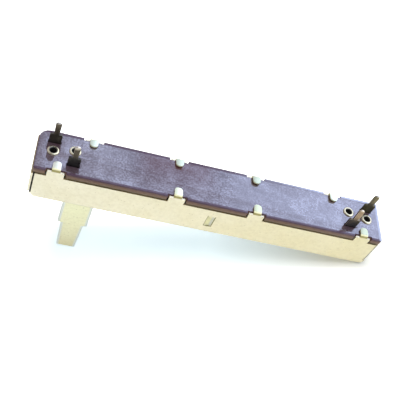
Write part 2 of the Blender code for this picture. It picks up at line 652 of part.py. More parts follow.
def build_carriage(finish, carrier):
    """The moulded carriage: two skids, a slot and a recess for the lever, a spring pocket and staked pegs."""
    half_length = CARRIAGE_LENGTH / 2
    beyond = HALF_WIDTH
    click_middle = CLICK_FOOT + CLICK_LENGTH / 2
    slot = (LEVER_WIDTH / 2 + SEAT, LEVER_THICKNESS / 2 + SEAT)
    head = LEVER_HEAD_WIDTH / 2 + SEAT
    pocket = (SPRING_LENGTH / 2 + SEAT, SPRING_HEIGHT / 2 + SEAT)
    core_low = CARRIAGE_FOOT + SKID_HEIGHT + CORE_WALL
    core_high = CARRIAGE_TOP - CORE_WALL
    body_x = (-half_length, half_length)
    body_y = (-CARRIAGE_HALF_WIDTH, CARRIAGE_HALF_WIDTH)
    carriage = add_object("carriage", block(body_x, body_y, (CARRIAGE_FOOT, CARRIAGE_TOP)), finish, carrier)
    past_ends = (-half_length - SHEET, half_length + SHEET)
    skid_inner = CARRIAGE_HALF_WIDTH - SKID_WIDTH
    under = block(past_ends, (-skid_inner, skid_inner), (0.0, CARRIAGE_FOOT + SKID_HEIGHT))
    channel = block(past_ends, (-beyond, CLICK_CHANNEL_FACE), (CLICK_FOOT - CORE_WALL / 2, BOARD_TOP))
    combine(carriage, joined([under, channel]), "carriage_steps", "DIFFERENCE")
    pocket_z = (click_middle - pocket[1], click_middle + pocket[1])
    spring_pocket = block((-pocket[0], pocket[0]), (-beyond, SPRING_POCKET_FACE), pocket_z)
    core_y = (CARRIAGE_HALF_WIDTH - CORE_DEPTH, beyond)
    core_x = (CORE_WALL / 2, half_length - CORE_WALL)
    left_core = block((-core_x[1], -core_x[0]), core_y, (core_low, core_high))
    right_core = block(core_x, core_y, (core_low, core_high))
    combine(carriage, joined([spring_pocket, left_core, right_core]), "carriage_pockets", "DIFFERENCE")
    lever_slot = block((-slot[0], slot[0]), (-slot[1], slot[1]), (0.0, BOARD_TOP))
    combine(carriage, lever_slot, "lever_slot", "DIFFERENCE")
    head_recess = block((-head, head), (-slot[1], slot[1]), (LEVER_HEAD_FOOT - SEAT, BOARD_TOP))
    combine(carriage, head_recess, "head_recess", "DIFFERENCE")
    head_low = WIPER_BASE + WIPER_SHEET + SEAT
    head_high = CARRIAGE_TOP + PEG_HEIGHT
    profile = [(0.0, CARRIAGE_TOP - CORE_WALL), (PEG_RADIUS, CARRIAGE_TOP - CORE_WALL), (PEG_RADIUS, head_low)]
    profile += [(PEG_HEAD_RADIUS, head_low), (PEG_RADIUS, head_high), (0.0, head_high)]
    pegs = []
    for side in (-1, 1):
        peg = revolve(profile)
        bmesh.ops.translate(peg, verts=peg.verts, vec=(PEG_X, side * PEG_OFFSET, 0.0))
        pegs.append(peg)
    combine(carriage, joined(pegs), "pegs", "UNION")
    settle(carriage)


def build_wiper(finish, carrier):
    """The wiper: a bridge strip on the pegs and two sprung arms, each split into fingers."""
    base_middle = WIPER_BASE + WIPER_SHEET / 2
    crest = TRACK_BOTTOM - SEAT - WIPER_SHEET / 2
    half_width = CARBON_OFFSET + FINGER_PITCH * (FINGERS - 1) / 2 + FINGER_WIDTH / 2
    toe = -WIPER_TIP_REACH
    line = [
        (WIPER_BRIDGE_START + WIPER_BRIDGE_INSET, base_middle),
        (WIPER_BRIDGE_START, base_middle),
        (WIPER_BRIDGE_START - WIPER_TOE_RADIUS, base_middle + WIPER_TOE_RISE),
        (toe + WIPER_TOE_RADIUS, crest - WIPER_TOE_RISE),
        (toe, crest),
        (toe - WIPER_TOE_RADIUS, crest - WIPER_TOE_RISE),
    ]
    fingers = []
    for middle in (CARBON_OFFSET, -COLLECTOR_OFFSET):
        for index in range(FINGERS):
            y = middle + FINGER_PITCH * (index - (FINGERS - 1) / 2)
            fingers.append(standing_plate(strip(line, WIPER_SHEET), y - FINGER_WIDTH / 2, y + FINGER_WIDTH / 2))
    bridge = rectangle((WIPER_BRIDGE_START, WIPER_BRIDGE_END), (-half_width, half_width))
    holes = [circle((PEG_X, side * PEG_OFFSET), PEG_RADIUS + SEAT) for side in (-1, 1)]
    wiper = add_object("wiper", plate(bridge, holes, WIPER_BASE, WIPER_BASE + WIPER_SHEET), finish, carrier)
    combine(wiper, joined(fingers), "wiper_fingers", "UNION")
    settle(wiper)


def build_click_spring(finish, carrier):
    """The bowed leaf spring in the carriage's near side, which rides over the click rib at half travel."""
    foot_line = SPRING_POCKET_FACE - SEAT - SPRING_SHEET / 2
    crest_line = CLICK_INNER_FACE + SPRING_RUNNING_GAP + SPRING_SHEET / 2
    half_length = SPRING_LENGTH / 2 - SPRING_SHEET / 2
    line = []
    for step in range(SPRING_STEPS + 1):
        x = half_length * (2 * step / SPRING_STEPS - 1)
        share = (1 + math.cos(math.pi * x / half_length)) / 2
        line.append((x, foot_line + (crest_line - foot_line) * share))
    middle = CLICK_FOOT + CLICK_LENGTH / 2
    span = (middle - SPRING_HEIGHT / 2, middle + SPRING_HEIGHT / 2)
    return add_object("click_spring", plate(strip(line, SPRING_SHEET), (), *span), finish, carrier)


def main():
    """Build the fixed pieces, then the pieces that slide, each group on its own empty."""
    clear_scene()
    steel = material("zinc_plated_steel", (0.80, 0.76, 0.55), 0.35, 1.0)
    lever_steel = material("lever_steel", (0.72, 0.70, 0.48), 0.4, 1.0)
    laminate = material("phenolic_laminate", (0.06, 0.025, 0.022), 0.25, 0.0)
    tinned = material("tinned_brass", (0.75, 0.70, 0.58), 0.3, 1.0)
    tarnished = material("tarnished_tin", (0.12, 0.10, 0.07), 0.45, 1.0)
    carbon = material("carbon_film", (0.02, 0.02, 0.02), 0.6, 0.0)
    silver = material("silver_film", (0.6, 0.6, 0.6), 0.4, 1.0)
    acetal = material("acetal", (0.85, 0.84, 0.78), 0.45, 0.0)
    bronze = material("phosphor_bronze", (0.62, 0.40, 0.22), 0.3, 1.0)
    spring_steel = material("spring_steel", (0.45, 0.45, 0.45), 0.3, 1.0)

    body = empty("body", (0.0, 0.0, 0.0))
    build_frame(steel, body)
    build_board(laminate, body)
    build_tracks(carbon, silver, body)
    build_eyelets(tinned, body)
    build_terminals(tarnished, body)

    slider = empty("slider", (LEVER_REST_X, 0.0, 0.0))
    build_lever(lever_steel, slider)
    build_carriage(acetal, slider)
    build_wiper(bronze, slider)
    build_click_spring(spring_steel, slider)


main()
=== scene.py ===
"""Looks of a slide potentiometer: fine shapes, finishes, studio and camera.

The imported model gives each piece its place. Metres, in the model's own frame: X runs along the body
and the lever's travel, Y across it and Z from the panel face to the board and its terminals.
"""

import logging
import math
from dataclasses import dataclass
from enum import Enum
from functools import partial, reduce
from typing import Callable, Iterable, Sequence

import bmesh
import bpy
from bmesh.types import BMEdge, BMesh
from bpy.types import Material, Node, NodeOutputs, NodeSocket, NodeTree
from mathutils import Matrix, Vector


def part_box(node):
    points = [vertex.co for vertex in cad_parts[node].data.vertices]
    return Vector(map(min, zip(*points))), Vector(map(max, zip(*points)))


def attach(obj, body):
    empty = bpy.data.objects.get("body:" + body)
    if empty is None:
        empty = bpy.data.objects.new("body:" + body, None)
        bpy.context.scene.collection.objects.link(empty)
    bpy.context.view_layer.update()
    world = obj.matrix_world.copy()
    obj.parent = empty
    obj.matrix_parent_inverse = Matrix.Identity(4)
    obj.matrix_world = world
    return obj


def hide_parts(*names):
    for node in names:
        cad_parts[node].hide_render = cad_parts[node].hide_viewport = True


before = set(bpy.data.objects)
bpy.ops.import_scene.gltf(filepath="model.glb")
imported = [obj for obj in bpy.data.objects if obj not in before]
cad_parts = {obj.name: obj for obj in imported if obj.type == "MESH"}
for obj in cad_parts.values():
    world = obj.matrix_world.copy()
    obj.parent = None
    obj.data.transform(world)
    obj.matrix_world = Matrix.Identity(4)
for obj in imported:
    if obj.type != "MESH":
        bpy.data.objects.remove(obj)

LOG = logging.getLogger("slide_potentiometer")
MM = 0.001
MERGE = 1e-6
FLAT_TURN = math.radians(0.6)
SMOOTH_TURN = math.radians(32.0)
SHARP_TURN = math.radians(50.0)
GRAIN_DEPTH = 0.01 * MM
TERMINAL_PLACES = ("outer_left", "inner_left", "inner_right", "outer_right")
RANGE_INPUTS = ("Value", "From Min", "From Max", "To Min", "To Max")

Colour = tuple[float, float, float]
Place = tuple[float, float, float]
Range = tuple[float, float]
# Where a mask starts to rise, where it is 0 again, and the length of its rise and of its fall
Band = tuple[float, float, float]
Stop = tuple[float, Colour]
# A mask and the colour that it lays on
Coat = tuple[object, object]

WHITE: Colour = (1.0, 1.0, 1.0)
RISE: Range = (0.0, 1.0)
FALL: Range = (1.0, 0.0)


def mm(*sizes: float) -> tuple[float, ...]:
    """Return sizes in metres that are given in millimetres."""
    return tuple(size * MM for size in sizes)


class Body(Enum):
    """The two bodies that pieces ride on."""

    HOUSING = "housing"
    SLIDER = "slider"


class Axis(Enum):
    """The axes that a finish may change along."""

    ALONG = "X"
    ACROSS = "Y"
    UP = "Z"


class Slope(Enum):
    """How a value goes from one end of its range to the other."""

    STRAIGHT = "LINEAR"
    SOFT = "SMOOTHSTEP"


class Effect(Enum):
    """The shared surface effects, each a node group."""

    CLOUD = "soft_cloud"
    FLECK = "sparse_fleck"
    DRAWN = "drawn_marks"
    EDGE = "grainy_edge"


class NodeGraph:
    """Adds nodes and links to one node tree."""

    def __init__(self, tree: NodeTree) -> None:
        """Take the tree that is filled."""
        self.tree = tree

    def feed(self, socket: NodeSocket, value: object) -> None:
        """Link a socket to another one, or set it to a plain value.

        Args:
            socket: The input that is fed.
            value: An output socket, a number, a place or a colour.
        """
        if isinstance(value, NodeSocket):
            self.tree.links.new(value, socket)
        elif socket.type == "RGBA":
            socket.default_value = (*value, 1.0)
        else:
            socket.default_value = value

    def add(self, kind: str, inputs: dict[str | int, object] | None = None, **settings: object) -> Node:
        """Add one node.

        Args:
            kind: The node's type.
            inputs: What feeds its inputs, by their names or numbers.
            settings: Properties to set on it.

        Returns:
            The node.
        """
        node = self.tree.nodes.new(kind)
        for name, value in settings.items():
            setattr(node, name, value)
        for key, value in (inputs or {}).items():
            self.feed(node.inputs[key], value)
        return node

    def place(self) -> object:
        """Return the object coordinates."""
        return self.add("ShaderNodeTexCoord").outputs["Object"]

    def normal(self) -> object:
        """Return the surface's normal."""
        return self.add("ShaderNodeNewGeometry").outputs["Normal"]

    def split(self, vector: object) -> NodeOutputs:
        """Return the outputs X, Y and Z of a vector."""
        return self.add("ShaderNodeSeparateXYZ", {0: vector}).outputs

    def stretched(self, vector: object, scale: Place) -> object:
        """Return a vector scaled along each axis."""
        return self.add("ShaderNodeMapping", {"Vector": vector, "Scale": scale}).outputs["Vector"]

    def measure(self, operation: str, first: object, second: object = (0.0, 0.0, 0.0)) -> object:
        """Return the number that one of Blender's vector operations gives."""
        return self.add("ShaderNodeVectorMath", {0: first, 1: second}, operation=operation).outputs["Value"]

    def calc(self, operation: str, first: object, second: object = 0.0) -> object:
        """Return what one of Blender's math operations gives."""
        return self.add("ShaderNodeMath", {0: first, 1: second}, operation=operation).outputs[0]

    def fold(self, operation: str, values: Iterable[object]) -> object:
        """Return numbers or outputs joined by one of Blender's math operations."""
        return reduce(partial(self.calc, operation), values)

    def total(self, *values: object) -> object:
        """Return the sum of values."""
        return self.fold("ADD", values)

    def both(self, *masks: object) -> object:
        """Return the product of masks."""
        return self.fold("MULTIPLY", masks)

    def either(self, *masks: object) -> object:
        """Return the greatest of masks."""
        return self.fold("MAXIMUM", masks)

    def rest(self, mask: object) -> object:
        """Return what a mask leaves out."""
        return self.calc("SUBTRACT", 1.0, mask)

    def share(self, mask: object, most: float) -> object:
        """Return a mask from 0 to 1 brought down to at most a share."""
        return self.calc("MULTIPLY", mask, most)

    def above(self, value: object, limit: object) -> object:
        """Return 1 where a value is greater than a limit."""
        return self.calc("GREATER_THAN", value, limit)

    def below(self, value: object, limit: object) -> object:
        """Return 1 where a value is less than a limit."""
        return self.calc("LESS_THAN", value, limit)

    def magnitude(self, value: object) -> object:
        """Return a value without its sign."""
        return self.calc("ABSOLUTE", value)

    def span(
        self, value: object, source: Range, target: Range = RISE, slope: Slope = Slope.STRAIGHT
    ) -> object:
        """Return a value stretched from one range to another, and clamped there."""
        inputs = dict(zip(RANGE_INPUTS, (value, *source, *target)))
        return self.add("ShaderNodeMapRange", inputs, interpolation_type=slope.value).outputs["Result"]

    def along(self, axis: Axis, start: float, end: float) -> object:
        """Return 0 at the start and 1 at the end of a stretch of one axis."""
        return self.span(self.split(self.place())[axis.value], (start, end))

    def pulse(self, value: object, low: float, high: float, soft: float) -> object:
        """Return 1 between two values, with a soft rise and fall inside them."""
        rise = self.span(value, (low, low + soft))
        return self.both(rise, self.span(value, (high - soft, high), FALL))

    def noise(self, vector: object, scale: object, detail: float = 3.0, rough: float = 0.5) -> object:
        """Return noise, by its waves per metre, its octaves and the strength of the finer ones."""
        inputs = {"Vector": vector, "Scale": scale, "Detail": detail, "Roughness": rough}
        return self.add("ShaderNodeTexNoise", inputs).outputs["Fac"]

    def ramp(self, factor: object, stops: Sequence[Stop]) -> object:
        """Add a colour ramp.

        Args:
            factor: What drives it.
            stops: Places from 0 to 1 with their colours.

        Returns:
            Its colour output.
        """
        node = self.add("ShaderNodeValToRGB", {"Fac": factor})
        elements = node.color_ramp.elements
        while len(elements) < len(stops):
            elements.new(0.5)
        for element, (place, colour) in zip(elements, stops):
            element.position = place
            element.color = (*colour, 1.0)
        return node.outputs["Color"]

    def blend(self, factor: object, first: object, second: object) -> object:
        """Return two colours mixed, by the share of the second."""
        return self.add("ShaderNodeMix", {0: factor, 6: first, 7: second}, data_type="RGBA").outputs[2]

    def paint(self, colour: object, *coats: Coat) -> object:
        """Lay coats of colour over a colour.

        Args:
            colour: What is painted.
            coats: The mask and the colour of each coat, the lowest first.

        Returns:
            The colour output.
        """
        for mask, coat in coats:
            colour = self.blend(mask, colour, coat)
        return colour

    def bump(self, height: object, strength: float, distance: float = GRAIN_DEPTH) -> object:
        """Return the normal of a height from 0 to 1, by its strength and its depth in metres."""
        inputs = {"Height": height, "Strength": strength, "Distance": distance}
        return self.add("ShaderNodeBump", inputs).outputs["Normal"]

    def effect(self, effect: Effect, **values: float) -> object:
        """Return the mask of a shared effect, with its inputs for this material."""
        group = bpy.data.node_groups[effect.value]
        return self.add("ShaderNodeGroup", values, node_tree=group).outputs["Mask"]


@dataclass(frozen=True)
class Effects:
    """Builds the node group of each shared effect."""

    drawn_stretch: Place = (0.06, 1.0, 1.0)
    bevel_samples: int = 6
    edge_turn: Range = (0.995, 0.85)
    grain_range: Range = (0.3, 0.6)
    grain_share: Range = (0.35, 1.0)

    def build(self) -> None:
        """Make the four node groups."""
        self._group(Effect.CLOUD, self._cloud, Scale=200.0, Low=0.35, High=0.65)
        self._group(Effect.FLECK, self._fleck, Scale=1500.0, Size=0.2, Share=0.6)
        self._group(Effect.DRAWN, self._drawn, Scale=900.0, Low=0.55, High=0.75)
        self._group(Effect.EDGE, self._edge, Radius=0.15 * MM, Grain=2500.0)

    def _group(self, effect: Effect, fill: Callable[..., object], **inputs: float) -> None:
        """Make one group with number inputs and one mask output.

        Args:
            effect: Which effect it is.
            fill: Builds its inside and returns the mask.
            inputs: Usual values of its inputs.
        """
        tree = bpy.data.node_groups.new(effect.value, "ShaderNodeTree")
        for name, value in inputs.items():
            socket = tree.interface.new_socket(name, in_out="INPUT", socket_type="NodeSocketFloat")
            socket.default_value = value
        tree.interface.new_socket("Mask", in_out="OUTPUT", socket_type="NodeSocketFloat")
        graph = NodeGraph(tree)
        source = graph.add("NodeGroupInput")
        graph.add("NodeGroupOutput", {"Mask": fill(graph, source.outputs)})

    def _cloud(self, graph: NodeGraph, inputs: NodeOutputs) -> object:
        """Return broad soft patches."""
        value = graph.noise(graph.place(), inputs["Scale"], detail=5.0, rough=0.6)
        return graph.span(value, (inputs["Low"], inputs["High"]), slope=Slope.SOFT)

    def _fleck(self, graph: NodeGraph, inputs: NodeOutputs) -> object:
        """Return small round spots, with a share of them left out."""
        cell = graph.add("ShaderNodeTexVoronoi", {"Vector": graph.place(), "Scale": inputs["Scale"]})
        near = graph.below(cell.outputs["Distance"], inputs["Size"])
        tone = graph.split(cell.outputs["Color"])["X"]
        return graph.both(near, graph.above(tone, inputs["Share"]))

    def _drawn(self, graph: NodeGraph, inputs: NodeOutputs) -> object:
        """Return fine marks drawn out along X."""
        long_way = graph.stretched(graph.place(), self.drawn_stretch)
        value = graph.noise(long_way, inputs["Scale"], rough=0.55)
        return graph.span(value, (inputs["Low"], inputs["High"]), slope=Slope.SOFT)

    def _edge(self, graph: NodeGraph, inputs: NodeOutputs) -> object:
        """Return the outer edges, broken up by grain."""
        rounded = graph.add("ShaderNodeBevel", {"Radius": inputs["Radius"]}, samples=self.bevel_samples)
        facing = graph.measure("DOT_PRODUCT", rounded.outputs["Normal"], graph.normal())
        grain = graph.noise(graph.place(), inputs["Grain"], detail=2.0)
        grain = graph.span(grain, self.grain_range, self.grain_share)
        return graph.both(graph.span(facing, self.edge_turn), grain)


class Shader:
    """A new material with a Principled shader."""

    def __init__(self, name: str, **constants: float) -> None:
        """Make the material and set what is the same all over it."""
        self.material = bpy.data.materials.new(name)
        self.material.use_nodes = True
        self.graph = NodeGraph(self.material.node_tree)
        self.set(**constants)

    def set(self, **sockets: object) -> Material:
        """Feed the shader's inputs.

        Args:
            sockets: Names of the inputs, with _ for a space, and what feeds them.

        Returns:
            The material.
        """
        inputs = self.material.node_tree.nodes["Principled BSDF"].inputs
        for name, value in sockets.items():
            self.graph.feed(inputs[name.replace("_", " ")], value)
        return self.material


@dataclass(frozen=True)
class PlatedSteel:
    """Zinc-plated sheet: pale at one end and golden at the other, with mottle, flecks, and edges painted
    paler as rubbed wear and as a painted highlight.
    """

    name: str
    pale: Colour
    gold: Colour
    fleck: Colour
    edge_wear_and_highlight: Colour
    axis: Axis
    start: float
    end: float
    metallic: Range = (0.85, 0.15)
    roughness: Range = (0.28, 0.42)
    golden_share: float = 0.75
    cloud_share: float = 0.25
    mottle_share: float = 0.12
    fleck_share: float = 0.8
    fleck_tint: float = 0.3
    edge_wear_and_highlight_share: float = 0.7

    def build(self) -> Material:
        """Make the material.

        Returns:
            The material.
        """
        made = Shader(self.name)
        graph = made.graph
        cloud = graph.effect(Effect.CLOUD, Scale=130.0, Low=0.3, High=0.7)
        mottle = graph.effect(Effect.CLOUD, Scale=1300.0, Low=0.36, High=0.7)
        fleck = graph.effect(Effect.FLECK, Scale=1300.0, Size=0.22, Share=self.fleck_share)
        drawn = graph.effect(Effect.DRAWN, Scale=1500.0, Low=0.5, High=0.75)
        edge = graph.effect(Effect.EDGE, Radius=0.12 * MM)
        golden = graph.share(graph.along(self.axis, self.start, self.end), self.golden_share)
        plating = (
            (graph.total(golden, graph.share(cloud, self.cloud_share)), self.gold),
            (graph.share(mottle, self.mottle_share), self.fleck),
            (graph.share(fleck, self.fleck_tint), self.fleck),
            # paler edges: rubbed wear, and a painted highlight
            (graph.share(edge, self.edge_wear_and_highlight_share), self.edge_wear_and_highlight),
        )
        accents, matt = self.accents(graph)
        relief = graph.total(graph.share(mottle, 0.7), graph.share(drawn, 0.3))
        return made.set(
            Base_Color=graph.paint(self.pale, *plating, *accents),
            Metallic=graph.span(matt, RISE, self.metallic),
            Roughness=graph.span(mottle, RISE, self.roughness),
            Normal=graph.bump(relief, strength=0.2, distance=0.015 * MM),
        )

    def accents(self, graph: NodeGraph) -> tuple[Sequence[Coat], object]:
        """Return the coats that are special to one piece, and the mask of what is matt."""
        raise NotImplementedError


@dataclass(frozen=True)
class CanSteel(PlatedSteel):
    """The can's plating, with painted light on its forms: painted reflections on paler lugs, a painted
    cream highlight over painted olive shade on their bends, painted highlights on the shoulders, painted
    shade at the end flap's turn, a groove painted lit on one flank and shaded on the other with painted
    shadow lines, and painted shade, made matt, on the cut top edges and all over the inside.
    """

    half_length: float = 42 * MM
    upward: float = 0.4
    # painted reflections on the lugs' tops, changing along the can, paler on the near lugs
    near_lug_reflection: tuple[Stop, ...] = (
        (0.1, (1.0, 1.0, 0.74)),
        (0.4, (0.92, 0.95, 0.62)),
        (0.65, (0.66, 0.69, 0.41)),
        (0.9, (0.56, 0.59, 0.38)),
    )
    far_lug_reflection: tuple[Stop, ...] = (
        (0.14, (0.80, 0.86, 0.62)),
        (0.58, (0.53, 0.57, 0.38)),
        (0.83, (0.84, 0.89, 0.66)),
    )
    lug_top: Range = mm(11.46, 11.52)
    # painted cream highlight just under the lugs' tops, over painted olive shade on their bends
    cream_highlight: Colour = (1.0, 0.96, 0.62)
    cream_highlight_band: Band = mm(11.2, 11.52, 0.05)
    bend_shade: Colour = (0.44, 0.38, 0.14)
    bend_shade_band: Band = mm(10.62, 11.3, 0.1)
    # painted highlight on the upward faces of the shoulders
    shoulder_highlight: Colour = (1.0, 0.98, 0.84)
    shoulder_highlight_band: Band = mm(10.3, 10.62, 0.02)
    # painted shade where the near wall turns into the end flap
    corner: float = 41.9 * MM
    turn: Colour = (0.20, 0.18, 0.07)
    turn_shade_band: Band = (0.15, 0.95, 0.1)
    turn_shade_share: float = 0.9
    groove_half: float = 1.05 * MM
    groove_face: float = 4.8 * MM
    groove_band: Band = mm(2.6, 6.75, 0.01)
    groove_depth: Range = mm(-5.7, -5.5)
    # the groove, painted with a highlight except on the flank that faces -X, which is painted shade, with
    # painted shadow lines along its sides and foot
    groove_floor: Colour = (1.0, 0.95, 0.56)
    groove_flank_shade: Colour = (0.84, 0.83, 0.68)
    flank_lean: Range = (-0.3, -0.1)
    groove_shadow_line: Colour = (0.30, 0.27, 0.10)
    side_shadow_line: Band = mm(0.82, 1.04, 0.06)
    foot_shadow_line: Band = mm(2.55, 2.9, 0.1)
    # painted shade on the walls' cut top edges, which lie under the board's rim
    cut: Colour = (0.36, 0.26, 0.12)
    ledge_shade_band: Band = mm(8, 9.2, 0.1)
    # painted shade all over the inside of the can
    inside: Colour = (0.05, 0.045, 0.03)
    inner_face: float = 5.32 * MM
    inner_end: float = 42.3 * MM
    inner_band: Band = mm(0.44, 9.2, 0.01)

    def accents(self, graph: NodeGraph) -> tuple[Sequence[Coat], object]:
        """Find each form of the can and the painted light on it.

        Args:
            graph: The material's nodes.

        Returns:
            The forms' coats, and the mask of what is matt.
        """
        place, normal = graph.split(graph.place()), graph.split(graph.normal())
        off_middle = graph.magnitude(place["X"])
        along = graph.span(place["X"], (-self.half_length, self.half_length))
        far_side = graph.span(place["Y"], (-MM, MM))
        lug_reflection = graph.blend(far_side, graph.ramp(along, self.near_lug_reflection), graph.ramp(along, self.far_lug_reflection))
        facing_up = graph.above(normal["Z"], self.upward)
        cream_highlight = graph.pulse(place["Z"], *self.cream_highlight_band)
        bend_shade = graph.pulse(place["Z"], *self.bend_shade_band)
        shoulder_highlight = graph.both(facing_up, graph.pulse(place["Z"], *self.shoulder_highlight_band))
        past_corner = graph.above(place["X"], self.corner)
        turn_shade = graph.both(past_corner, graph.pulse(normal["X"], *self.turn_shade_band))
        groove = graph.both(
            graph.below(off_middle, self.groove_half),
            graph.below(place["Y"], -self.groove_face),
            graph.pulse(place["Z"], *self.groove_band),
        )
        # painted highlight and shade in the groove, by which way its faces turn
        pressed = graph.both(groove, graph.span(place["Y"], self.groove_depth))
        flank_shade = graph.span(normal["X"], self.flank_lean, FALL)
        foot_shadow_line = graph.pulse(place["Z"], *self.foot_shadow_line)
        shadow_outline = graph.both(groove, graph.either(graph.pulse(off_middle, *self.side_shadow_line), foot_shadow_line))
        # painted shade on the walls' cut top edges
        cut = graph.both(facing_up, graph.pulse(place["Z"], *self.ledge_shade_band))
        # painted shade on the inside
        inside = graph.both(
            graph.below(graph.magnitude(place["Y"]), self.inner_face),
            graph.below(off_middle, self.inner_end),
            graph.pulse(place["Z"], *self.inner_band),
            graph.rest(groove),
        )
        # coats of painted light: reflections, highlights and shade on the forms
        coats = (
            (cream_highlight, self.cream_highlight),
            (graph.span(place["Z"], self.lug_top), lug_reflection),
            (bend_shade, self.bend_shade),
            (shoulder_highlight, self.shoulder_highlight),
            (graph.share(turn_shade, self.turn_shade_share), self.turn),
            (pressed, graph.blend(flank_shade, self.groove_floor, self.groove_flank_shade)),
            (shadow_outline, self.groove_shadow_line),
            (cut, self.cut),
            (inside, self.inside),
        )
        return coats, graph.either(cut, inside, shadow_outline, pressed, bend_shade, cream_highlight, shoulder_highlight, turn_shade)


@dataclass(frozen=True)
class LeverSteel(PlatedSteel):
    """The lever's plating, with a painted highlight in paler strips along its edges, and a browner tip."""

    middle: float = -30 * MM
    half_width: float = 3.7 * MM
    neck: Range = mm(-25, -14.8)
    neck_halves: Range = mm(2.4, 2.875)
    # painted highlight along the blade's edges
    strip: Colour = (0.84, 0.91, 0.90)
    highlight_width: Range = mm(0.42, 0.75)
    highlight_share: float = 0.8
    matt_share: float = 0.8
    tip: Colour = (0.66, 0.56, 0.30)
    tip_range: Range = mm(-20, -26)
    tip_share: float = 0.45

    def accents(self, graph: NodeGraph) -> tuple[Sequence[Coat], object]:
        """Find the strips and the tip.

        Args:
            graph: The material's nodes.

        Returns:
            Their coats, and the mask of what is matt.
        """
        place = graph.split(graph.place())
        narrow = graph.span(place["Z"], self.neck, self.neck_halves)
        broad = graph.share(graph.above(place["Z"], self.neck[1]), self.half_width)
        off_middle = graph.magnitude(graph.calc("SUBTRACT", place["X"], self.middle))
        margin = graph.calc("SUBTRACT", graph.either(narrow, broad), off_middle)
        # painted highlight in strips along the edges, made matt
        strip = graph.span(margin, self.highlight_width, (self.highlight_share, 0.0))
        tip = graph.share(graph.along(Axis.UP, *self.tip_range), self.tip_share)
        return ((tip, self.tip), (strip, self.strip)), graph.share(strip, self.matt_share)


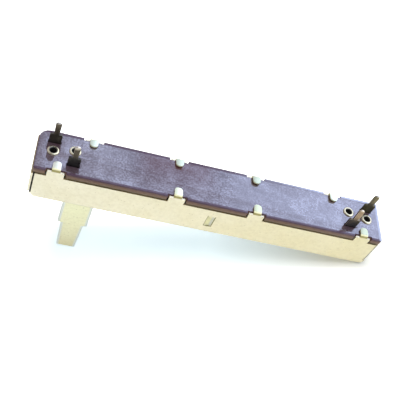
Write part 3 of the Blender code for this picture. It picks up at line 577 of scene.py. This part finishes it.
@dataclass(frozen=True)
class Laminate:
    """Paper laminate: a glossy dark face, mottled and hazed with smudges and a painted lavender sheen, and
    a dull sawn side under a dark rim that is partly the sawn edge and partly painted shade, with painted
    highlights along the far and right rims.
    """

    name: str = "board_laminate"
    face: Colour = (0.072, 0.03, 0.036)
    shade: Colour = (0.04, 0.016, 0.02)
    mottle_shares: tuple[float, ...] = (0.3, 0.25, 0.45)
    # lavender haze: smudges, and a painted sheen that is strongest in the wiped zone
    smudge_and_sheen: Colour = (0.20, 0.19, 0.25)
    smudge_and_sheen_shares: Range = (0.2, 0.4)
    bare: Colour = (0.09, 0.026, 0.032)
    bare_share: float = 0.6
    dust: Colour = (0.50, 0.52, 0.60)
    dust_share: float = 0.2
    far_side: Range = mm(-3, 3)
    wiped: Band = mm(-37, -18, 8)
    wiped_least: float = 0.5
    dull: Band = mm(-21, 1, 5)
    dull_least: float = 0.2
    # dark rim along the face's edges and along strips by the near and far sides: the sawn edge, with
    # painted shade
    rim: Colour = (0.065, 0.03, 0.054)
    rim_share: float = 0.85
    far_strip: Range = mm(4.9, 5.1)
    near_strip: Range = mm(-5.1, -5.3)
    # painted highlight along the far rim and the right end
    glint: Colour = (0.50, 0.56, 0.80)
    far_glint: Range = mm(5.0, 5.3)
    glint_reach: Range = mm(5, 30)
    right_glint: Range = mm(41.7, 42.2)
    low_side: Colour = (0.14, 0.095, 0.036)
    middle_side: Colour = (0.22, 0.118, 0.06)
    high_side: Colour = (0.155, 0.075, 0.058)
    bottom: float = 9.3 * MM
    top: float = 10.9 * MM
    ply_stretch: Place = (0.12, 0.12, 1.0)
    ply_waver: Range = (-0.1, 0.1)
    gloss: float = 1.04
    wiped_gloss: float = 0.55
    dull_gloss: float = -0.5
    mottle_gloss: Range = (0.38, 1.0)
    even: Range = mm(-4, 5)
    even_share: float = 0.61

    def build(self) -> Material:
        """Make the material.

        Returns:
            The material.
        """
        made = Shader(self.name, IOR=1.5, Coat_Roughness=0.06, Coat_IOR=3.0)
        graph = made.graph
        normal = graph.split(graph.normal())
        flat = graph.span(graph.magnitude(normal["Z"]), (0.8, 0.97))
        cloud = graph.effect(Effect.CLOUD, Scale=150.0, Low=0.38, High=0.64)
        patch = graph.effect(Effect.CLOUD, Scale=520.0, Low=0.36, High=0.66)
        fibre = graph.effect(Effect.CLOUD, Scale=2300.0, Low=0.43, High=0.59)
        speck = graph.effect(Effect.FLECK, Scale=700.0, Size=0.14, Share=0.84)
        shares = zip((cloud, patch, fibre), self.mottle_shares)
        mottle = graph.total(*(graph.share(mask, most) for mask, most in shares))
        wiped = self._zone(graph, self.wiped, self.wiped_least)
        dull = self._zone(graph, self.dull, self.dull_least)
        glint, shaded = self._rims(graph)
        # smudges and painted sheen, by the mottle and the wiped zone
        mottled_smudge_and_sheen, wiped_smudge_and_sheen = self.smudge_and_sheen_shares
        smudge_and_sheen = graph.total(graph.share(mottle, mottled_smudge_and_sheen), graph.share(wiped, wiped_smudge_and_sheen))
        face = graph.paint(
            graph.blend(mottle, self.shade, self.face),
            (smudge_and_sheen, self.smudge_and_sheen),
            (graph.share(dull, self.bare_share), self.bare),
            (graph.share(speck, self.dust_share), self.dust),
            (shaded, self.rim),
        )
        plies = graph.noise(graph.stretched(graph.place(), self.ply_stretch), 2600.0, detail=2.0)
        height = graph.along(Axis.UP, self.bottom, self.top)
        height = graph.total(height, graph.span(plies, (0.2, 0.8), self.ply_waver))
        stops = [(0.05, self.low_side), (0.3, self.middle_side), (0.65, self.high_side), (0.95, self.rim)]
        # painted highlight on the upper side faces under the highlighted rims
        upper = graph.both(glint, graph.span(normal["Z"], (0.3, 0.6), (0.0, 0.6)))
        colour = graph.paint(graph.ramp(height, stops), (flat, face), (upper, self.glint))
        wiped_gain = graph.share(wiped, self.wiped_gloss)
        gain = graph.total(self.gloss, wiped_gain, graph.share(dull, self.dull_gloss))
        even = graph.share(graph.along(Axis.ALONG, *self.even), self.even_share)
        sheen = graph.either(even, graph.span(mottle, (0.2, 0.8), self.mottle_gloss))
        relief = graph.total(graph.share(fibre, 0.6), graph.share(plies, 0.4))
        return made.set(
            Base_Color=colour,
            Roughness=graph.span(mottle, RISE, (0.5, 0.36)),
            Coat_Weight=graph.both(flat, graph.rest(shaded), gain, sheen),
            Normal=graph.bump(relief, strength=0.08, distance=0.012 * MM),
        )

    def _zone(self, graph: NodeGraph, band: Band, least: float) -> object:
        """Return a zone of the face, by its reach along it and how strong it is on the near side."""
        across = graph.span(graph.along(Axis.ACROSS, *self.far_side), RISE, (least, 1.0))
        return graph.both(graph.pulse(graph.split(graph.place())["X"], *band), across)

    def _rims(self, graph: NodeGraph) -> tuple[object, object]:
        """Mark the rims that carry a painted highlight and the border that carries painted shade.

        Args:
            graph: The material's nodes.

        Returns:
            The mask of the painted highlight on the rims, and that of the painted shade on the border.
        """
        far_rim = graph.along(Axis.ACROSS, *self.far_glint)
        far_rim = graph.both(far_rim, graph.along(Axis.ALONG, *self.glint_reach))
        glint = graph.either(far_rim, graph.along(Axis.ALONG, *self.right_glint))
        border = graph.either(
            graph.effect(Effect.EDGE, Radius=0.6 * MM),
            graph.along(Axis.ACROSS, *self.far_strip),
            graph.along(Axis.ACROSS, *self.near_strip),
        )
        return glint, graph.both(border, graph.span(glint, RISE, (self.rim_share, 0.0)))


@dataclass(frozen=True)
class TinWithPaintedLight:
    """Tin plating painted from a dark foot of painted shade up to a paler tip of painted highlight, with
    its edges painted paler towards the tip.
    """

    name: str
    foot_shade: Colour = (0.085, 0.075, 0.06)
    stem: Colour = (0.19, 0.16, 0.115)
    tip: Colour = (0.70, 0.65, 0.54)
    foot_height: float = 13.4 * MM
    tip_height: float = 17.5 * MM
    waver: float = 0.06
    stem_share: float = 0.3
    pale_share: float = 0.9
    edge_radius: float = 0.14 * MM
    edge_low: float = 0.15
    edge_high: float = 0.9

    def build(self) -> Material:
        """Make the material.

        Returns:
            The material.
        """
        made = Shader(self.name, Metallic=0.85)
        graph = made.graph
        cloud = graph.effect(Effect.CLOUD, Scale=700.0, Low=0.3, High=0.7)
        edge = graph.effect(Effect.EDGE, Radius=self.edge_radius)
        rise = graph.along(Axis.UP, self.foot_height, self.tip_height)
        rise = graph.total(rise, graph.span(cloud, RISE, (-self.waver, self.waver)))
        # painted shade at the foot, rising through the stem to a painted highlight at the tip
        stem = [(self.stem_share, self.stem), (self.pale_share, self.stem)]
        stops = [(0.0, self.foot_shade), *stem, (1.0, self.tip)]
        low = graph.span(rise, (0.0, self.stem_share), (self.edge_low / 2, self.edge_low))
        high = graph.span(rise, RISE, (0.0, self.edge_high))
        # painted highlight on the edges, stronger towards the tip
        worn = graph.both(edge, graph.either(low, high))
        return made.set(
            Base_Color=graph.blend(worn, graph.ramp(rise, stops), self.tip),
            Roughness=graph.span(cloud, RISE, (0.26, 0.44)),
            Normal=graph.bump(cloud, strength=0.2),
        )


@dataclass(frozen=True)
class BrightStrip:
    """Bright plated or bare strip metal with fine drawn marks."""

    name: str
    bright: Colour
    dull: Colour
    roughness: Range = (0.28, 0.42)

    def build(self) -> Material:
        """Make the material.

        Returns:
            The material.
        """
        made = Shader(self.name, Metallic=0.95)
        graph = made.graph
        cloud = graph.effect(Effect.CLOUD, Scale=900.0, Low=0.35, High=0.7)
        drawn = graph.effect(Effect.DRAWN, Scale=2600.0, Low=0.45, High=0.75)
        edge = graph.effect(Effect.EDGE, Radius=0.08 * MM)
        coats = ((graph.share(cloud, 0.8), self.dull), (graph.share(edge, 0.6), self.bright))
        return made.set(
            Base_Color=graph.paint(self.bright, *coats),
            Roughness=graph.span(drawn, RISE, self.roughness),
            Normal=graph.bump(drawn, strength=0.15),
        )


@dataclass(frozen=True)
class Film:
    """A thin film with a fine grain: a printed track, or the near-black painted shade inside an eyelet's
    bore.
    """

    name: str
    dark: Colour
    pale: Colour
    metallic: float
    roughness: Range

    def build(self) -> Material:
        """Make the material.

        Returns:
            The material.
        """
        made = Shader(self.name, Metallic=self.metallic)
        graph = made.graph
        cloud = graph.effect(Effect.CLOUD, Scale=1800.0, Low=0.35, High=0.65)
        drawn = graph.effect(Effect.DRAWN, Scale=2400.0, Low=0.5, High=0.7)
        worn = graph.either(graph.share(cloud, 0.6), drawn)
        return made.set(
            Base_Color=graph.blend(worn, self.dark, self.pale),
            Roughness=graph.span(cloud, RISE, self.roughness),
            Normal=graph.bump(cloud, strength=0.2),
        )


@dataclass(frozen=True)
class Moulding:
    """Natural moulded acetal, with a faint sheen and traces of grease."""

    name: str
    clean: Colour
    greased: Colour

    def build(self) -> Material:
        """Make the material.

        Returns:
            The material.
        """
        made = Shader(self.name, Subsurface_Weight=0.1, Subsurface_Scale=0.5 * MM)
        graph = made.graph
        cloud = graph.effect(Effect.CLOUD, Scale=420.0, Low=0.45, High=0.75)
        grain = graph.effect(Effect.CLOUD, Scale=3000.0, Low=0.35, High=0.65)
        return made.set(
            Base_Color=graph.blend(cloud, self.clean, self.greased),
            Roughness=graph.span(cloud, RISE, (0.46, 0.24)),
            Normal=graph.bump(grain, strength=0.15),
        )


def node_object(node: str) -> bpy.types.Object:
    """Return the CAD object of a node."""
    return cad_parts[node]


def merged_copy(node: str) -> BMesh:
    """Copy a CAD node's mesh, with its doubles merged and its flat faces whole.

    Args:
        node: The node's name.

    Returns:
        The copy as a bmesh, in the model's frame.
    """
    bm = bmesh.new()
    bm.from_mesh(node_object(node).data)
    bmesh.ops.remove_doubles(bm, verts=bm.verts, dist=MERGE)
    limit = {"angle_limit": FLAT_TURN, "use_dissolve_boundaries": False}
    bmesh.ops.dissolve_limit(bm, verts=bm.verts, edges=bm.edges, **limit)
    return bm


def round_edges(
    bm: BMesh, width: float, steps: int, chosen: Callable[[BMEdge], bool] = lambda edge: True
) -> None:
    """Round the sharp edges of a bmesh.

    Args:
        bm: What is rounded.
        width: Width of the rounding.
        steps: Its segments.
        chosen: Picks among the sharp edges.
    """
    joined = [edge for edge in bm.edges if len(edge.link_faces) == 2]
    sharp = [edge for edge in joined if edge.calc_face_angle(0.0) > SHARP_TURN]
    bmesh.ops.bevel(
        bm,
        geom=[edge for edge in sharp if chosen(edge)],
        offset=width,
        offset_type="OFFSET",
        segments=steps,
        profile=0.5,
        affect="EDGES",
        clamp_overlap=True,
        material=-1,
    )


def make_piece(
    name: str, bm: BMesh, finishes: Sequence[Material], body: Body, replaced: Iterable[str]
) -> None:
    """Turn a bmesh into a piece that rides on a body.

    Args:
        name: The piece's name.
        bm: Its shape, in the model's frame.
        finishes: Its materials, in the order of its faces' indices.
        body: The body that it rides on.
        replaced: CAD nodes that it stands for.
    """
    mesh = bpy.data.meshes.new(name)
    bm.to_mesh(mesh)
    bm.free()
    mesh.shade_smooth()
    mesh.set_sharp_from_angle(angle=SMOOTH_TURN)
    for finish in finishes:
        mesh.materials.append(finish)
    piece = bpy.data.objects.new(name, mesh)
    bpy.context.scene.collection.objects.link(piece)
    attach(piece, body.value)
    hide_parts(*replaced)
    LOG.info("%s: %d faces on %s", name, len(mesh.polygons), body.value)


def dress_node(node: str, finish: Material) -> None:
    """Give a CAD node its material.

    Args:
        node: The node's name.
        finish: The material for all its slots.
    """
    obj = node_object(node)
    for slot in obj.material_slots:
        slot.material = finish
    if not obj.material_slots:
        obj.data.materials.append(finish)
    LOG.info("%s keeps its shape, in %s", node, finish.name)


@dataclass
class Can:
    """The folded steel can with its lugs, flaps and tapped screw holes."""

    edge: float = 0.06 * MM
    edge_steps: int = 2
    wall_top: float = 9.25 * MM
    wall_drop: float = 0.42 * MM
    wall_face: float = 5.2 * MM
    groove_half: float = 0.8 * MM
    groove_floor: float = 5.31 * MM
    groove_top: float = 7.7 * MM
    groove_spread: float = 1.16

    def build(self, finish: Material) -> None:
        """Make the can from its solid, with its sheet's cut edges rounded.

        Args:
            finish: The plated steel.
        """
        bm = merged_copy("frame")
        tops = [vert for vert in bm.verts if self._on_wall_top(vert.co)]
        bmesh.ops.translate(bm, verts=tops, vec=(0.0, 0.0, -self.wall_drop))
        pressed = [vert for vert in bm.verts if self._in_groove(vert.co)]
        bmesh.ops.scale(bm, verts=pressed, vec=(self.groove_spread, 1.0, 1.0))
        round_edges(bm, self.edge, self.edge_steps)
        make_piece("can", bm, [finish], Body.HOUSING, ["frame"])

    def _on_wall_top(self, place: Vector) -> bool:
        """Return whether a point lies on the top edge of a long wall."""
        return abs(place.y) > self.wall_face and abs(place.z - self.wall_top) < MERGE

    def _in_groove(self, place: Vector) -> bool:
        """Return whether a point lies on the click groove in the near wall."""
        below_top = place.z < self.groove_top
        return abs(place.x) < self.groove_half and place.y < -self.groove_floor and below_top


@dataclass
class BaseBoard:
    """The laminate board with the tracks printed on its inner side."""

    edge: float = 0.07 * MM
    edge_steps: int = 2
    rim: float = 0.24 * MM
    rim_steps: int = 4
    top: float = 10.9 * MM
    silver_nodes: tuple[str, ...] = ("collector_track", "silver_pad_left", "silver_pad_right")

    def build(self, laminate: Material, carbon: Material, silver: Material) -> None:
        """Make the board and dress its tracks.

        Args:
            laminate: The board's material.
            carbon: The resistive track's material.
            silver: The material of the collector and the end pads.
        """
        bm = merged_copy("base_board")
        round_edges(bm, self.rim, self.rim_steps, self._on_rim)
        round_edges(bm, self.edge, self.edge_steps)
        make_piece("board", bm, [laminate], Body.HOUSING, ["base_board"])
        dress_node("carbon_track", carbon)
        for node in self.silver_nodes:
            dress_node(node, silver)

    def _on_rim(self, edge: BMEdge) -> bool:
        """Return whether an edge lies on the board's upper face."""
        return all(abs(vert.co.z - self.top) < MERGE for vert in edge.verts)


@dataclass
class Eyelets:
    """The four rolled eyelets that clamp the terminals."""

    bore: float = 0.72 * MM
    shank: float = 0.95 * MM
    roll: float = 1.36 * MM
    roll_rise: float = 0.3 * MM
    # shares of the roll whose faces take the bore's and the throat's painted shade
    bore_shade_share: float = 0.75
    throat_shade_share: float = 0.1
    head_thickness: float = 0.22 * MM
    roll_steps: int = 12
    steps: int = 48

    def shape(self, node: str) -> BMesh:
        """Spin one eyelet, whose bore and throat have the second and the third material, both painted
        shade.

        Args:
            node: The CAD eyelet that gives its place.

        Returns:
            The eyelet's bmesh.
        """
        low, high = (Vector(corner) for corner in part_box(node))
        middle = (low + high) / 2
        head_radius = (high.x - low.x) / 2
        head_top = low.z + self.head_thickness
        roll_foot = high.z - self.roll_rise
        centre = (self.bore + self.roll) / 2
        half = (self.roll - self.bore) / 2
        profile = [(self.bore, low.z), (head_radius, low.z), (head_radius, head_top)]
        profile += [(self.shank, head_top), (self.shank, roll_foot)]
        for step in range(self.roll_steps + 1):
            angle = math.pi * step / self.roll_steps
            height = roll_foot + self.roll_rise * math.sin(angle)
            profile.append((centre + half * math.cos(angle), height))
        bm = bmesh.new()
        verts = [bm.verts.new((radius, 0.0, height)) for radius, height in profile]
        edges = [bm.edges.new(pair) for pair in zip(verts, verts[1:] + verts[:1])]
        turn = {"axis": (0, 0, 1), "cent": (0, 0, 0), "angle": 2 * math.pi}
        bmesh.ops.spin(bm, geom=verts + edges, steps=self.steps, use_merge=True, **turn)
        bmesh.ops.remove_doubles(bm, verts=bm.verts, dist=MERGE / 10)
        bmesh.ops.recalc_face_normals(bm, faces=bm.faces)
        for face in bm.faces:
            reach = max(vert.co.xy.length for vert in face.verts)
            if reach < centre - half * self.bore_shade_share:
                face.material_index = 1
            elif reach < centre - half * self.throat_shade_share:
                face.material_index = 2
        bmesh.ops.translate(bm, verts=bm.verts, vec=(middle.x, middle.y, 0.0))
        return bm

    def build(self, finishes: Sequence[Material]) -> None:
        """Make the four eyelets.

        Args:
            finishes: The tinned roll, the painted shade in the bore and the darker painted shade on the
                throat between them.
        """
        for place in TERMINAL_PLACES:
            node = f"eyelet_{place}"
            make_piece(f"rolled_{node}", self.shape(node), finishes, Body.HOUSING, [node])


@dataclass
class Terminals:
    """The four terminals, whose pins are widened and have coined edges."""

    coined: float = 0.2 * MM
    coined_steps: int = 3
    pin_foot: float = 13.75 * MM
    pin_spread: float = 1.18

    def build(self, finishes: dict[str, Material]) -> None:
        """Make the four terminals from their solids.

        Args:
            finishes: The tin of each place, each with its own painted shade and highlight.
        """
        for place in TERMINAL_PLACES:
            node = f"terminal_{place}"
            bm = merged_copy(node)
            self._spread_pin(bm)
            round_edges(bm, self.coined, self.coined_steps, self._on_pin)
            make_piece(f"coined_{node}", bm, [finishes[place]], Body.HOUSING, [node])

    def _spread_pin(self, bm: BMesh) -> None:
        """Widen the pin the way that coining does."""
        pin = [vert for vert in bm.verts if vert.co.z > self.pin_foot]
        low, high = (Vector([pick(vert.co[i] for vert in pin) for i in range(3)]) for pick in (min, max))
        size = high - low
        factor = (self.pin_spread, 1.0, 1.0) if size.x > size.y else (1.0, self.pin_spread, 1.0)
        bmesh.ops.scale(bm, verts=pin, vec=factor, space=Matrix.Translation(-(low + high) / 2))

    def _on_pin(self, edge: BMEdge) -> bool:
        """Return whether an edge lies on the pin."""
        return all(vert.co.z > self.pin_foot for vert in edge.verts)


@dataclass
class Slider:
    """What slides: the lever, its carriage, the wiper and the click spring."""

    kept_nodes: tuple[str, ...] = ("carriage", "wiper", "click_spring")

    def build(self, finishes: dict[str, Material]) -> None:
        """Make the lever's blade and dress the rest.

        Args:
            finishes: Materials by CAD node.
        """
        blade = merged_copy("lever")
        make_piece("lever_blade", blade, [finishes["lever"]], Body.SLIDER, ["lever"])
        for node in self.kept_nodes:
            dress_node(node, finishes[node])


@dataclass(frozen=True)
class Softbox:
    """One square studio lamp that faces the object."""

    name: str
    place: Place
    size: float
    radiance: float
    colour: Colour

    def build(self) -> None:
        """Make the lamp."""
        lamp = bpy.data.lights.new(self.name, "AREA")
        lamp.shape = "SQUARE"
        lamp.size = self.size
        lamp.energy = self.radiance * math.pi * self.size**2
        lamp.color = self.colour
        obj = bpy.data.objects.new(self.name, lamp)
        bpy.context.scene.collection.objects.link(obj)
        turn = Vector(self.place).to_track_quat("Z", "Y").to_matrix().to_4x4()
        obj.matrix_world = Matrix.Translation(self.place) @ turn
        obj.visible_glossy = False


@dataclass
class Studio:
    """A pale table that the object leans on, a white surround, two lamps and the camera."""

    rest_low: Place = mm(-27.6, 0.0, -25.2)
    lean: float = math.radians(19.7)
    table_half: float = 2.0
    paper: Colour = (0.87, 0.87, 0.87)
    floor_reach: Range = mm(42, 66)
    shadow_reach: Range = mm(6.2, 9.5)
    # painted shadow tone glowing under the body: bluish at the left, grey at the right
    left_painted_shadow: Colour = (0.42, 0.54, 0.60)
    right_painted_shadow: Colour = (0.13, 0.135, 0.12)
    painted_shadow_range: Range = mm(6, 36)
    mirrored_glow: Colour = (0.34, 0.34, 0.34)
    surround: float = 0.35
    surround_colour: Colour = (0.86, 0.96, 1.0)
    left_sky: Colour = (0.54, 0.55, 0.73)
    right_sky: Colour = (1.59, 1.85, 2.66)
    sky_range: Range = (-0.25, 0.52)
    unlit_side: Place = (-0.2, -0.85, 0.48)
    unlit_range: Range = (0.4, 0.95)
    unlit: float = 0.25
    lamps: tuple[Softbox, ...] = (
        Softbox("top_panel", (-0.03, -0.03, 0.5), 0.36, 4.6, (1.0, 0.98, 0.94)),
        Softbox("front_panel", (-0.30, -0.42, 0.42), 0.30, 1.2, (1.0, 0.94, 0.84)),
    )
    camera_turn: Place = (2.4692, 0.1572, 0.3878)
    camera_shift: Place = (0.0104, 0.0370, 2.1079)
    camera_unit: float = 0.085
    focal_pixels: float = 726.0
    half_pixels: float = 200.0
    clip_start: float = 0.5 * MM

    def build(self) -> None:
        """Make everything that isn't the object."""
        self._table()
        self._world()
        for lamp in self.lamps:
            lamp.build()
        self._camera()

    def _table(self) -> None:
        """Make the table, which only shows from above."""
        bm = bmesh.new()
        bmesh.ops.create_grid(bm, x_segments=1, y_segments=1, size=self.table_half)
        lean = Matrix.Rotation(-self.lean, 3, "Y")
        bmesh.ops.rotate(bm, verts=bm.verts, cent=(0, 0, 0), matrix=lean)
        bmesh.ops.translate(bm, verts=bm.verts, vec=self.rest_low)
        mesh = bpy.data.meshes.new("table")
        bm.to_mesh(mesh)
        bm.free()
        table = bpy.data.objects.new("table", mesh)
        bpy.context.scene.collection.objects.link(table)
        mesh.materials.append(self._table_finish())

    def _table_finish(self) -> Material:
        """Return paper that keeps the lamps' shadow under the body with a painted shadow tone, is painted
        white around it and clear from behind.
        """
        made = bpy.data.materials.new("white_paper")
        made.use_nodes = True
        made.node_tree.nodes.clear()
        graph = NodeGraph(made.node_tree)
        path = graph.add("ShaderNodeLightPath").outputs
        reach = graph.span(graph.measure("LENGTH", graph.place()), self.floor_reach)
        across = graph.magnitude(graph.split(graph.place())["Y"])
        # painted white around the body over the lamps' shadow, painted shadow tone under it
        outer = graph.either(reach, graph.span(across, self.shadow_reach))
        under = graph.blend(graph.along(Axis.ALONG, *self.painted_shadow_range), self.left_painted_shadow, self.right_painted_shadow)
        seen = graph.blend(outer, under, WHITE)
        colour = graph.blend(path["Is Glossy Ray"], seen, self.mirrored_glow)
        strength = graph.either(path["Is Camera Ray"], path["Is Glossy Ray"])
        glow = graph.add("ShaderNodeEmission", {"Color": colour, "Strength": strength})
        paper = graph.add("ShaderNodeBsdfDiffuse", {"Color": self.paper})
        front = graph.add("ShaderNodeAddShader", {0: paper.outputs[0], 1: glow.outputs[0]})
        clear = graph.add("ShaderNodeBsdfTransparent")
        behind = graph.add("ShaderNodeNewGeometry").outputs["Backfacing"]
        both = graph.add("ShaderNodeMixShader", {0: behind, 1: front.outputs[0], 2: clear.outputs[0]})
        graph.add("ShaderNodeOutputMaterial", {"Surface": both.outputs[0]})
        return made

    def _world(self) -> None:
        """Make the surround: white to the camera, dim as a light, a sky with a dark side in reflections."""
        world = bpy.data.worlds.new("surround")
        world.use_nodes = True
        bpy.context.scene.world = world
        graph = NodeGraph(world.node_tree)
        path = graph.add("ShaderNodeLightPath").outputs
        glossy = path["Is Glossy Ray"]
        seen = graph.either(path["Is Camera Ray"], path["Is Transmission Ray"])
        direction = graph.add("ShaderNodeTexCoord").outputs["Generated"]
        side = graph.measure("DOT_PRODUCT", direction, tuple(Vector(self.unlit_side).normalized()))
        lit = graph.span(side, self.unlit_range, (1.0, self.unlit), Slope.SOFT)
        across = graph.span(graph.split(direction)["X"], self.sky_range, slope=Slope.SOFT)
        sky = graph.blend(across, self.left_sky, self.right_sky)
        plain = graph.blend(seen, self.surround_colour, WHITE)
        as_light = graph.share(graph.rest(graph.either(seen, glossy)), self.surround)
        back = world.node_tree.nodes["Background"].inputs
        graph.feed(back["Color"], graph.blend(glossy, plain, sky))
        graph.feed(back["Strength"], graph.total(seen, as_light, graph.both(glossy, lit)))

    def _camera(self) -> None:
        """Put the camera where the photograph was taken from."""
        turn = Vector(self.camera_turn)
        camera_to_world = Matrix.Rotation(turn.length, 3, turn.normalized()).transposed()
        flip = Matrix(((1, 0, 0), (0, -1, 0), (0, 0, -1)))
        pose = (camera_to_world @ flip).to_4x4()
        pose.translation = -(camera_to_world @ (Vector(self.camera_shift) * self.camera_unit))
        lens = bpy.data.cameras.new("photo_camera")
        lens.angle = 2 * math.atan(self.half_pixels / self.focal_pixels)
        lens.clip_start = self.clip_start
        camera = bpy.data.objects.new("photo_camera", lens)
        bpy.context.scene.collection.objects.link(camera)
        camera.matrix_world = pose
        bpy.context.scene.camera = camera
        bpy.context.scene.view_settings.view_transform = "Standard"


def steels() -> dict[str, PlatedSteel]:
    """Return the plated steels of the can and the lever."""
    return {
        "frame": CanSteel(
            name="can_steel",
            pale=(0.89, 0.85, 0.68),
            gold=(0.75, 0.68, 0.42),
            fleck=(0.44, 0.38, 0.24),
            edge_wear_and_highlight=(1.0, 0.97, 0.84),
            axis=Axis.ALONG,
            start=-40 * MM,
            end=40 * MM,
        ),
        "lever": LeverSteel(
            name="lever_blade_steel",
            pale=(0.93, 0.94, 0.64),
            gold=(0.90, 0.86, 0.58),
            fleck=(0.38, 0.36, 0.20),
            edge_wear_and_highlight=(0.84, 0.88, 0.78),
            axis=Axis.UP,
            start=-4 * MM,
            end=-27 * MM,
            fleck_share=0.7,
        ),
    }


def tins() -> dict[str, TinWithPaintedLight]:
    """Return the tin of each terminal, by its place, each with its own painted shade and highlight."""
    return {
        "outer_left": TinWithPaintedLight("tin_painted_light_outer_left", stem=(0.165, 0.135, 0.095)),
        "inner_left": TinWithPaintedLight(
            "tin_painted_light_inner_left",
            foot_shade=(0.06, 0.058, 0.052),
            stem=(0.085, 0.07, 0.05),
            tip=(0.95, 0.86, 0.70),
            pale_share=0.74,
        ),
        "inner_right": TinWithPaintedLight(
            "tin_painted_light_inner_right",
            stem=(0.33, 0.235, 0.15),
            tip=(0.90, 0.78, 0.56),
            edge_radius=0.3 * MM,
            edge_low=0.9,
        ),
        "outer_right": TinWithPaintedLight(
            "tin_painted_light_outer_right", foot_shade=(0.105, 0.092, 0.048), stem=(0.20, 0.17, 0.095)
        ),
    }


def other_finishes() -> dict[str, Laminate | BrightStrip | Film | Moulding]:
    """Return the finishes of the board, the eyelets and the hidden pieces."""
    return {
        "laminate": Laminate(),
        "carbon": Film("carbon_print", (0.012, 0.012, 0.013), (0.05, 0.05, 0.05), 0.0, (0.5, 0.62)),
        "silver": Film("silver_print", (0.52, 0.51, 0.49), (0.72, 0.71, 0.69), 0.8, (0.34, 0.46)),
        "tinned": BrightStrip("tinned_eyelet", (0.96, 0.86, 0.52), (0.66, 0.58, 0.36)),
        # painted shade in the eyelets' bores and throats
        "bore_shade": Film("eyelet_bore_painted_shade", (0.01, 0.009, 0.008), (0.022, 0.02, 0.017), 0.0, (0.55, 0.67)),
        "throat_shade": BrightStrip("eyelet_throat_painted_shade", (0.20, 0.18, 0.13), (0.10, 0.09, 0.07)),
        "carriage": Moulding("moulded_acetal", (0.80, 0.79, 0.72), (0.62, 0.57, 0.42)),
        "wiper": BrightStrip("bronze_strip", (0.80, 0.55, 0.30), (0.55, 0.33, 0.16)),
        "click_spring": BrightStrip("spring_strip", (0.62, 0.62, 0.62), (0.38, 0.38, 0.40)),
    }


def main() -> None:
    """Build the studio, the finishes and then each sub-assembly."""
    logging.basicConfig(level=logging.INFO, format="%(message)s")
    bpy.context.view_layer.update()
    Studio().build()
    Effects().build()
    recipes = {**steels(), **tins(), **other_finishes()}
    finishes = {name: recipe.build() for name, recipe in recipes.items()}
    Can().build(finishes["frame"])
    BaseBoard().build(finishes["laminate"], finishes["carbon"], finishes["silver"])
    Eyelets().build([finishes["tinned"], finishes["bore_shade"], finishes["throat_shade"]])
    Terminals().build(finishes)
    Slider().build(finishes)


if __name__ == "__main__":
    main()
